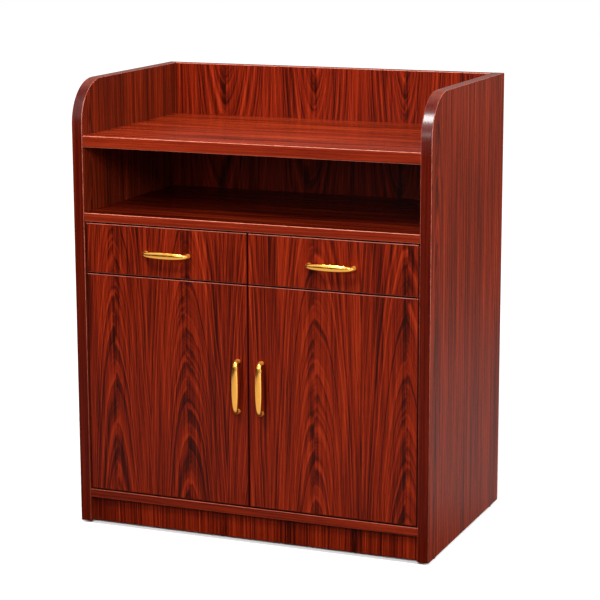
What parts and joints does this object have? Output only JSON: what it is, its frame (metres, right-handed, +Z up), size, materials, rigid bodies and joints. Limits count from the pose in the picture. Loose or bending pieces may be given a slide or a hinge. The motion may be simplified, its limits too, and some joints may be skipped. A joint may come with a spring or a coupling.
{
  "type": "waiter service station",
  "caption": "Free-standing restaurant side cabinet with a recessed worktop, an open bay, drawers on roller runners and inset hinged doors with brass bow pulls.",
  "frame": {"origin": "on the floor under the middle of the bounding box, pulls included", "axes": "+X to the right seen from the front, +Y to the back, +Z up"},
  "size_m": [0.83, 0.524, 1],
  "materials": {
    "worktop_laminate": "satin laminate, mahogany figure across the width",
    "level_laminate": "satin laminate, mahogany figure across the width",
    "upright_laminate": "satin laminate, mahogany figure upright",
    "front_laminate": "satin laminate, bold cathedral figure upright",
    "edge_banding": "semi-gloss moulded band, fine grain",
    "polished_brass": "polished and lacquered",
    "zinc_plated_steel": "bright zinc plate",
    "nickel_plate": "satin nickel plate",
    "nylon": "natural nylon",
    "black_plastic": "matt",
    "brown_plastic": "matt",
    "magnet": "sintered, matt",
    "drawer_board": "foil-wrapped board, light oak",
    "hardboard": "smooth hardboard"
  },
  "bodies": {
    "carcass": {"worktop": "worktop_laminate", "middle_shelf": "level_laminate", "drawer_floor_panel": "level_laminate", "bottom_panel": "level_laminate", "cam_fasteners": "zinc_plated_steel", "hinge_arms": "nickel_plate", "hinge_plates": "nickel_plate", "hinge_plate_screws": "zinc_plated_steel", "left_side_panel": "upright_laminate", "right_side_panel": "upright_laminate", "left_side_edge_band": "edge_banding", "right_side_edge_band": "edge_banding", "upstand": "upright_laminate", "back_panel": "upright_laminate", "drawer_divider": "upright_laminate", "front_plinth": "upright_laminate", "rear_plinth": "upright_laminate", "adjustable_shelf": "level_laminate", "board_edge_bands": "edge_banding", "shelf_pins": "zinc_plated_steel", "foot_glides": "black_plastic", "catch_housing": "brown_plastic", "catch_magnets": "magnet", "cabinet_runners": "zinc_plated_steel"},
    "left_drawer_box": {"left_drawer_front": "front_laminate", "left_drawer_edge_band": "edge_banding", "left_drawer_sides": "drawer_board", "left_drawer_back": "drawer_board", "left_drawer_bottom": "hardboard", "left_drawer_runners": "zinc_plated_steel", "left_drawer_handle": "polished_brass", "left_drawer_handle_screws": "zinc_plated_steel"},
    "left_door_leaf": {"left_door": "front_laminate", "left_door_edge_band": "edge_banding", "left_door_handle": "polished_brass", "left_door_handle_screws": "zinc_plated_steel", "left_hinge_cups": "nickel_plate", "left_hinge_pins": "nickel_plate", "left_strike_plate": "zinc_plated_steel"},
    "left_fixed_rollers": {"left_front_rollers": "nylon"},
    "left_carried_rollers": {"left_rear_rollers": "nylon"},
    "right_drawer_box": {"right_drawer_front": "front_laminate", "right_drawer_edge_band": "edge_banding", "right_drawer_sides": "drawer_board", "right_drawer_back": "drawer_board", "right_drawer_bottom": "hardboard", "right_drawer_runners": "zinc_plated_steel", "right_drawer_handle": "polished_brass", "right_drawer_handle_screws": "zinc_plated_steel"},
    "right_door_leaf": {"right_door": "front_laminate", "right_door_edge_band": "edge_banding", "right_door_handle": "polished_brass", "right_door_handle_screws": "zinc_plated_steel", "right_hinge_cups": "nickel_plate", "right_hinge_pins": "nickel_plate", "right_strike_plate": "zinc_plated_steel"},
    "right_fixed_rollers": {"right_front_rollers": "nylon"},
    "right_carried_rollers": {"right_rear_rollers": "nylon"}
  },
  "joints": [
    {"name": "left_drawer_slide", "type": "slide", "parent": "carcass", "child": "left_drawer_box", "axis": [0, -1, 0], "range_m": [0, 0.3]},
    {"name": "left_fixed_roller_turn", "type": "hinge", "parent": "carcass", "child": "left_fixed_rollers", "pos_m": [-0.19975, -0.202, 0.604], "axis": [1, 0, 0], "range_deg": [0, 2022.8]},
    {"name": "left_carried_roller_turn", "type": "hinge", "parent": "left_drawer_box", "child": "left_carried_rollers", "pos_m": [-0.19975, 0.172, 0.604], "axis": [1, 0, 0], "range_deg": [0, 2022.8]},
    {"name": "left_door_hinge", "type": "hinge", "parent": "carcass", "child": "left_door_leaf", "pos_m": [-0.373, -0.225, 0.3285], "axis": [0, 0, -1], "range_deg": [0, 105]},
    {"name": "right_drawer_slide", "type": "slide", "parent": "carcass", "child": "right_drawer_box", "axis": [0, -1, 0], "range_m": [0, 0.3]},
    {"name": "right_fixed_roller_turn", "type": "hinge", "parent": "carcass", "child": "right_fixed_rollers", "pos_m": [0.19975, -0.202, 0.604], "axis": [1, 0, 0], "range_deg": [0, 2022.8]},
    {"name": "right_carried_roller_turn", "type": "hinge", "parent": "right_drawer_box", "child": "right_carried_rollers", "pos_m": [0.19975, 0.172, 0.604], "axis": [1, 0, 0], "range_deg": [0, 2022.8]},
    {"name": "right_door_hinge", "type": "hinge", "parent": "carcass", "child": "right_door_leaf", "pos_m": [0.373, -0.225, 0.3285], "axis": [0, 0, 1], "range_deg": [0, 105]}
  ],
  "couplings": [
    {"joint": "left_fixed_roller_turn", "follows": "left_drawer_slide", "rad_per_m": 117.65},
    {"joint": "left_carried_roller_turn", "follows": "left_drawer_slide", "rad_per_m": 117.65},
    {"joint": "right_fixed_roller_turn", "follows": "right_drawer_slide", "rad_per_m": 117.65},
    {"joint": "right_carried_roller_turn", "follows": "right_drawer_slide", "rad_per_m": 117.65}
  ]
}
